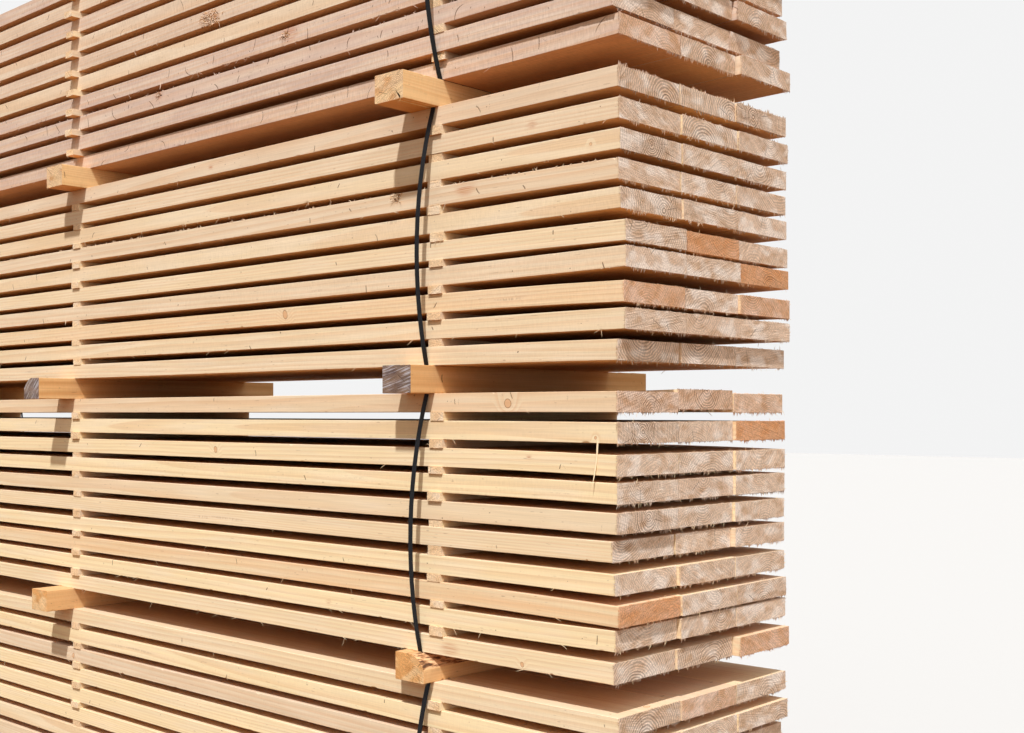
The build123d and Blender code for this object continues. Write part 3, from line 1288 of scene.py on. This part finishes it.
@dataclass
class BoardLayer:
    """The boards of one layer of a pack, in their order from the front."""

    pack: int
    layer: int
    torn: TornEdge = field(default_factory=TornEdge)
    outer_steps: Steps = ((0.05, 0.007), (1.0, 0.014), (3.1, 0.030), (5.04, 0.075), (TO_THE_END, 0.010))
    inner_steps: Steps = ((0.06, 0.010), (0.6, 0.04), (TO_THE_END, 0.16))
    pack_tones: tuple[float, ...] = (0.15, 0.12, 0.40, 0.85)
    saw_marks: tuple[float, ...] = (0.10, 0.10, 0.25, 0.80)
    scrapes: tuple[float, ...] = (0.10, 0.12, 0.18, 0.50)
    scraped_layers: dict[LayerKey, float] = table({(4, 8): 1.0, (4, 7): 0.8})
    splinter_rates: dict[LayerKey, float] = table({
        (3, 3): 6.0, (3, 4): 5.0, (2, 9): 4.0, (2, 10): 4.0, (4, 7): 9.0, (4, 5): 4.0, (3, 9): 3.0,
    })
    hanging: dict[LayerKey, tuple[float, float]] = table({
        (2, 2): (0.060, 0.112), (4, 7): (1.95, 0.024), (3, 7): (2.6, 0.020),
    })
    torn_tops: dict[LayerKey, float] = table({(3, 1): 1.1, (3, 2): 0.6})
    ragged_tops: dict[LayerKey, float] = table({(3, 4): 60.0, (4, 8): 26.0})
    end_tints: dict[BoardKey, Tint] = table({
        (3, 6, 1): Tint.ORANGE, (3, 7, 2): Tint.ORANGE, (3, 8, 0): Tint.TAN, (3, 8, 2): Tint.TAN,
        (2, 2, 2): Tint.ORANGE, (2, 8, 0): Tint.ORANGE, (2, 10, 2): Tint.TAN, (1, 1, 1): Tint.WARM,
        (2, 1, 0): Tint.WARM, (2, 1, 1): Tint.WARM, (2, 1, 2): Tint.WARM, (4, 10, 0): Tint.WARM,
    })
    piths: dict[BoardKey, Spot] = table({
        (3, 1, 0): (-0.070, -0.029, 0.0080), (3, 1, 1): (-0.104, -0.018, 0.0076),
        (3, 1, 2): (0.046, 0.000, 0.0070), (3, 3, 0): (0.000, 0.006, 0.0066),
        (3, 5, 0): (-0.050, -0.012, 0.0070), (3, 2, 1): (0.03, -0.050, 0.0080),
        (3, 10, 0): (0.02, 0.060, 0.0075), (3, 10, 1): (0.05, 0.055, 0.0075),
        (2, 1, 0): (-0.014, -0.025, 0.0066), (2, 1, 1): (-0.005, 0.032, 0.0070),
        (2, 2, 0): (0.024, 0.002, 0.0062), (2, 5, 0): (0.000, 0.010, 0.0066),
        (2, 10, 0): (0.04, -0.060, 0.0072), (2, 10, 1): (-0.03, -0.050, 0.0078),
        (1, 1, 0): (0.02, -0.045, 0.0076),
    })
    knots: dict[BoardKey, Spot] = table({
        (2, 1, 0): (0.349, -0.003, 0.013), (3, 8, 0): (1.28, 0.004, 0.012),
        (2, 2, 0): (0.066, -0.012, 0.0045), (2, 10, 0): (0.29, -0.012, 0.0065),
        (2, 3, 0): (1.62, 0.002, 0.010),
    })
    marks: dict[LayerKey, Spot] = table({
        (3, 1): (1.65, 0.0, 0.012), (3, 2): (0.273, 0.0, 0.014), (3, 4): (0.503, 0.009, 0.030),
        (2, 10): (0.548, -0.005, 0.026), (2, 9): (1.05, -0.004, 0.010), (2, 3): (0.277, 0.009, 0.010),
        (4, 8): (1.95, 0.016, 0.022), (4, 5): (1.66, -0.008, 0.042), (4, 7): (1.25, 0.004, 0.034),
    })
    tufts: dict[LayerKey, Spot] = table({
        (4, 5): (1.66, -0.006, 0.048), (3, 4): (0.77, 0.016, 0.018),
        (4, 7): (1.27, 0.008, 0.014), (4, 8): (1.95, 0.016, 0.012),
    })

    @property
    def key(self) -> LayerKey:
        """The layer's key in the tables."""
        return self.pack, self.layer

    @property
    def node(self) -> str:
        """Name of the layer's node in the frame."""
        return f"pack_{self.pack}_layer_{self.layer:02d}"

    def build(self, materials: Sequence[bpy.types.Material]) -> bpy.types.Object:
        """Build the layer as one piece that stands for its node.

        Args:
            materials: Materials of the long faces, of the ends and of dark torn fibre.

        Returns:
            The piece.
        """
        pile = MeshPile()
        solids = sorted(solids_of(self.node), key=lambda solid: float(solid[:, 1].min()))
        for place, solid in enumerate(solids):
            self._board(place, len(solids), solid).build(pile)
        return pile.build(f"{self.node}_boards", materials)

    def _board(self, place: int, count: int, solid: np.ndarray) -> Timber:
        """Draw one board round its solid.

        Args:
            place: Its place from the front, from 0.
            count: Number of boards in the layer.
            solid: Points of its solid.

        Returns:
            The board.
        """
        rng = np.random.default_rng((self.pack * 100 + self.layer) * 10 + place)
        low, high = solid.min(0), solid.max(0)
        side = solid[np.abs(solid[:, 1] - low[1]) < SAME_PLACE]
        places = np.unique(np.round(side[:, 0], 5))
        heights = [side[np.abs(side[:, 0] - x) < 2 * SAME_PLACE][:, 2] for x in places]
        bottoms = np.array([values.min() for values in heights])
        tops = np.array([values.max() for values in heights])
        thick = float(np.median(tops - bottoms))
        half_width, half_thick = float(high[1] - low[1]) / 2, thick / 2
        centre = np.array([high[0], (low[1] + high[1]) / 2, 0.0])
        bend = (high[0] - places[::-1], ((bottoms + tops) / 2)[::-1])
        outline = np.array([[-1, -1], [1, -1], [1, 1], [-1, 1]]) * [half_width, half_thick]
        outer = place in (0, count - 1)
        rate = self.splinter_rates.get(self.key, 0.6)
        lower = {0: 1, count - 1: 0}.get(place)
        ragged = self.ragged_tops.get(self.key, 0.0) if place == 0 else 0.0
        chips = {} if lower is None else {lower: 0.8 + rate * 0.8, 2 if lower else 3: 0.4 + ragged * 0.3}
        splinters = {} if lower is None else {lower: Splinters(rate)}
        if ragged:
            splinters[2] = Splinters(ragged, reach=0.011, width=0.0034)
        hanging = self.hanging.get(self.key) if place == 0 else None
        edges = {0: 1.0, 1: 0.55, 3: 0.80, 2: self.torn_tops.get(self.key, 0.30)}
        return Timber(
            start=centre, axes=(-X, -Y, Z), length=float(high[0] - low[0]), outline=outline,
            log=self._log(place, half_width, rng), rng=rng,
            steps=self.outer_steps if outer else self.inner_steps,
            bend=bend, chips_per_metre=chips, splinters=splinters,
            hanging=((1, *hanging),) if hanging else (), torn=self.torn, torn_edges=edges,
            tuft=self.tufts.get(self.key) if place == 0 else None,
        )

    def _log(self, place: int, half_width: float, rng: np.random.Generator) -> Log:
        """The log of one board.

        Args:
            place: The board's place from the front, from 0.
            half_width: Half of the board's width.
            rng: Source of chance.

        Returns:
            The log.
        """
        key = (self.pack, self.layer, place)
        side = float(rng.uniform(-0.09, 0.09))
        rise = float(rng.choice([-1, 1]) * rng.uniform(0.022, 0.090))
        side, rise, width = self.piths.get(key, (side, rise, float(rng.uniform(0.0052, 0.0084))))
        tone = float(np.clip(self.pack_tones[self.pack - 1] + rng.normal(0, 0.16), 0, 1))
        stain = self.end_tints.get(key, Tint.CLEAN).value
        seed = float(rng.random())
        log = Log(
            seed, tone, stain, side, rise, width,
            rings=1.0 if key in self.piths else float(rng.uniform(0.35, 0.9)),
            saw=float(np.clip(self.saw_marks[self.pack - 1] + rng.normal(0, 0.15), 0, 1)),
            scrapes=max(self.scrapes[self.pack - 1] * float(rng.uniform(0.4, 1.4)),
                        self.scraped_layers.get(key[:2], 0.0)),
            mark=self.marks.get(key[:2], (0.0, 0.0, 0.0)) if place == 0 else (0.0, 0.0, 0.0),
        )
        if key not in self.knots:
            return log
        along, up, radius = self.knots[key]
        out, above = half_width - side, up - rise
        foot = along - BRANCH_LEAN * math.hypot(out, above)
        return replace(log, knot_place=foot, knot_angle=math.atan2(above, out), knot_radius=radius)


def across_outline(solid: np.ndarray) -> np.ndarray:
    """Outline of a bar that lies across the pack, from the points of its front end.

    Args:
        solid: Points of the bar's solid.

    Returns:
        Corners across and up, anticlockwise seen from the front end towards the rear.
    """
    front = solid[np.abs(solid[:, 1] - solid[:, 1].min()) < 1e-4]
    flat = np.unique(np.round(np.stack([-front[:, 0], front[:, 2]], -1), 5), axis=0)
    around = flat - (flat.min(0) + flat.max(0)) / 2
    flat = flat[np.argsort(np.arctan2(around[:, 1], around[:, 0]))]
    step = np.roll(flat, -1, 0) - flat
    back = flat - np.roll(flat, 1, 0)
    turns = back[:, 0] * step[:, 1] - back[:, 1] * step[:, 0]
    return flat[np.abs(turns) > 1e-7]


def bar_across(solid: np.ndarray, chip_rate: float = 0.0, **details: object) -> Timber:
    """Draw a bar that lies across the pack round its solid.

    Args:
        solid: Points of its solid.
        chip_rate: Chips on each metre of each corner.
        **details: Other values of the timber.

    Returns:
        The bar.
    """
    outline = across_outline(solid)
    middle = outline.mean(0)
    return Timber(
        start=np.array([-middle[0], solid[:, 1].min(), middle[1]]), axes=(Y, -X, Z),
        length=float(np.ptp(solid[:, 1])), outline=outline - middle,
        chips_per_metre={corner: chip_rate for corner in range(len(outline))} if chip_rate else {}, **details,
    )


@dataclass
class StickerColumns:
    """The thin stickers between the layers of one pack."""

    pack: int
    torn: TornEdge = field(
        default_factory=lambda: TornEdge(tooth=0.002, width=0.0025, whiskers_per_metre=6.0)
    )
    steps: Steps = ((0.03, 0.010), (0.70, 0.080), (TO_THE_END, 0.010))
    arris: float = 0.0007
    first_seed: int = 7000

    @property
    def node(self) -> str:
        """Name of the stickers' node in the frame."""
        return f"pack_{self.pack}_stickers"

    def build(self, materials: Sequence[bpy.types.Material]) -> bpy.types.Object:
        """Build all stickers of the pack as one piece.

        Args:
            materials: Materials of the long faces and of the ends.

        Returns:
            The piece.
        """
        pile = MeshPile()
        for number, solid in enumerate(solids_of(self.node)):
            rng = np.random.default_rng(self.first_seed + self.pack * 100 + number)
            log = Log(
                float(rng.random()), float(rng.uniform(0.0, 0.6)), 0.0, float(rng.uniform(-0.05, 0.05)),
                float(rng.uniform(-0.06, 0.06)), float(rng.uniform(0.003, 0.005)),
            )
            bar_across(
                solid, log=log, rng=rng, steps=self.steps, arris=self.arris, torn=self.torn,
                torn_edges={0: 0.6, 1: 0.5, 3: 0.5},
            ).build(pile)
        return pile.build(f"{self.node}_bars", materials)


class Condition(Enum):
    """How a bearer's wood has aged: its tone and its stain."""

    FRESH = (0.1, 0.0)
    TANNED = (1.0, 0.0)
    WEATHERED = (0.6, 1.0)


@dataclass
class BearerRow:
    """The thick bearers under one pack; on some, the rounded edge of the log is left."""

    pack: int
    torn: TornEdge = field(default_factory=lambda: TornEdge(tooth=0.004, whiskers_per_metre=8.0))
    steps: Steps = ((0.06, 0.008), (0.98, 0.025), (TO_THE_END, 0.008))
    arris: float = 0.0015
    chip: float = 0.006
    chip_rate: float = 2.5
    first_seed: int = 9000
    conditions: dict[tuple[int, str], Condition] = table({
        (3, "near"): Condition.WEATHERED, (3, "middle"): Condition.WEATHERED, (2, "near"): Condition.TANNED,
        (2, "middle"): Condition.TANNED, (1, "near"): Condition.TANNED, (3, "far"): Condition.TANNED,
    })

    @property
    def node(self) -> str:
        """Name of the bearers' node in the frame."""
        return f"pack_{self.pack}_bearers"

    def build(self, materials: Sequence[bpy.types.Material]) -> bpy.types.Object:
        """Build the bearers as one piece.

        Args:
            materials: Materials of the long faces, of the ends and of bark.

        Returns:
            The piece.
        """
        pile = MeshPile()
        solids = sorted(solids_of(self.node), key=lambda solid: float(solid[:, 0].mean()))
        for number, (column, solid) in enumerate(zip(("far", "middle", "near"), solids)):
            rng = np.random.default_rng(self.first_seed + self.pack * 10 + number)
            condition = self.conditions.get((self.pack, column), Condition.FRESH)
            log = Log(
                float(rng.random()), *condition.value, float(rng.uniform(-0.03, 0.03)),
                float(rng.uniform(-0.03, 0.0)), float(rng.uniform(0.003, 0.005)), rings=0.6, saw=0.3,
            )
            bar_across(
                solid, self.chip_rate, log=log, rng=rng, steps=self.steps, arris=self.arris, chip=self.chip,
                bark=True, torn=self.torn, torn_edges={0: 0.8},
            ).build(pile)
        return pile.build(f"{self.node}_bars", materials)


@dataclass
class YardCamera:
    """The camera: level, at eye height, off the near front corner of the stack."""

    place: tuple[float, float, float] = (4.370, -2.753, 1.492)
    heading: float = 42.25
    lens: float = 44.6
    shift: float = 0.04596

    def build(self) -> None:
        """Place the camera and make it the scene's own."""
        data = bpy.data.cameras.new("yard_camera")
        data.lens = self.lens
        data.shift_y = self.shift
        camera = bpy.data.objects.new("yard_camera", data)
        camera.location = self.place
        camera.rotation_euler = (math.radians(90.0), 0.0, math.radians(self.heading))
        bpy.context.scene.collection.objects.link(camera)
        bpy.context.scene.camera = camera


@dataclass
class Studio:
    """A pale floor and surroundings, a key lamp from above the front, a soft side lamp and a fill."""

    key_travel: tuple[float, float, float] = (-0.239, 0.475, -0.847)
    key_strength: float = 3.74
    key_angle: float = 2.0
    side_travel: tuple[float, float, float] = (-0.85, 0.25, -0.46)
    side_strength: float = 1.1
    side_angle: float = 70.0
    high_fill: float = 0.46
    high_colour: Colour = (0.98, 0.94, 0.90)
    low_fill: float = 0.28
    low_colour: Colour = (1.0, 0.66, 0.44)
    white: Colour = (1.0, 1.0, 1.0)
    backdrop: float = 0.90
    floor_size: float = 80.0
    floor_seen: Colour = (0.60, 0.60, 0.595)
    floor_bounce: Colour = (0.145, 0.070, 0.023)

    def build(self) -> None:
        """Build the lamps, the surroundings and the floor."""
        self._lamp("key", self.key_travel, self.key_strength, self.key_angle)
        self._lamp("side", self.side_travel, self.side_strength, self.side_angle)
        self._surroundings()
        self._floor()
        bpy.context.scene.view_settings.view_transform = "Standard"

    @staticmethod
    def _lamp(name: str, travel: tuple[float, float, float], strength: float, angle: float) -> None:
        """Add a far lamp.

        Args:
            name: Name of the lamp.
            travel: Direction in which its light travels.
            strength: Light on a surface that faces it.
            angle: Its apparent size in degrees; the larger, the softer its shadows.
        """
        data = bpy.data.lights.new(name, "SUN")
        data.energy = strength
        data.angle = math.radians(angle)
        lamp = bpy.data.objects.new(name, data)
        lamp.rotation_mode = "QUATERNION"
        lamp.rotation_quaternion = Vector(travel).to_track_quat("-Z", "Y")
        bpy.context.scene.collection.objects.link(lamp)

    def _surroundings(self) -> None:
        """Light the scene softly, more from above, and show camera rays a pale backdrop."""
        world = bpy.data.worlds.new("surroundings")
        g = Graph(world)
        high, low, pale = (
            g.add("ShaderNodeBackground", {}, {"Color": (*colour, 1.0), "Strength": strength})
            for colour, strength in (
                (self.high_colour, self.high_fill), (self.low_colour, self.low_fill),
                (self.white, self.backdrop),
            )
        )
        height = g.parts(g.add("ShaderNodeTexCoord", output="Generated"))[2].rise(0.0, 0.7)
        fill = g.add("ShaderNodeMixShader", {}, {0: height, 1: low, 2: high})
        g.output(g.add("ShaderNodeMixShader", {}, {0: g.seen(), 1: fill, 2: pale}), "ShaderNodeOutputWorld")
        bpy.context.scene.world = world

    def _floor(self) -> None:
        """Add the floor."""
        half = self.floor_size / 2
        mesh = bpy.data.meshes.new("floor")
        corners = [(-half, -half, 0), (half, -half, 0), (half, half, 0), (-half, half, 0)]
        mesh.from_pydata(corners, [], [(0, 1, 2, 3)])
        g = Graph(bpy.data.materials.new("floor"))
        colour = g.blend(g.seen(), self.floor_bounce, self.floor_seen)
        mesh.materials.append(g.principled(Base_Color=colour, Roughness=0.9, Specular_IOR_Level=0.1))
        floor = bpy.data.objects.new("floor", mesh)
        bpy.context.scene.collection.objects.link(floor)


def stand_for(piece: bpy.types.Object, node: str) -> None:
    """Make a piece stand for a node of the frame and report it.

    Args:
        piece: The piece.
        node: The node that it stands for.
    """
    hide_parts(node)
    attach(piece, BODY)
    LOG.info("%s stands for %s with %d faces", piece.name, node, len(piece.data.polygons))


def main() -> None:
    """Build the stack's pieces in order and report each."""
    logging.basicConfig(level=logging.INFO, format="%(name)s: %(message)s")
    YardCamera().build()
    Studio().build()
    bark = BarkWane().material()
    board_wood = (LongGrain("board_face").material(), CrosscutEnd("board_end").material(), bark)
    bearer_wood = (
        LongGrain(
            "bearer_face", straw=paint(240, 200, 144), rosy=paint(230, 184, 130), pale=paint(242, 210, 162),
            stained=paint(204, 152, 96), stain_show=0.9, ring_show=0.5, wander=0.02, half_width=0.055,
        ).material(),
        CrosscutEnd(
            "bearer_end", ground=paint(246, 212, 170), rosy=paint(244, 184, 118), white=paint(252, 218, 168),
            tan=paint(220, 158, 96), stained=paint(102, 90, 90), bruise_show=0.9,
        ).material(),
        bark,
    )
    sticker_wood = (
        board_wood[0],
        CrosscutEnd(
            "sticker_end", ground=paint(252, 224, 184), rosy=paint(244, 206, 162), white=paint(252, 232, 204),
            tan=paint(236, 196, 148), late=paint(186, 136, 92), ring_show=0.6,
        ).material(),
    )
    steel = StrapSteel().material()
    for name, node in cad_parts.items():
        node.data.materials.clear()
        node.data.materials.append(steel if "strap" in name else board_wood[0])
    for pack in range(1, PACKS + 1):
        bearers, stickers = BearerRow(pack), StickerColumns(pack)
        stand_for(bearers.build(bearer_wood), bearers.node)
        stand_for(stickers.build(sticker_wood), stickers.node)
        for layer in range(1, LAYERS + 1):
            boards = BoardLayer(pack, layer)
            stand_for(boards.build(board_wood), boards.node)


if __name__ == "__main__":
    main()
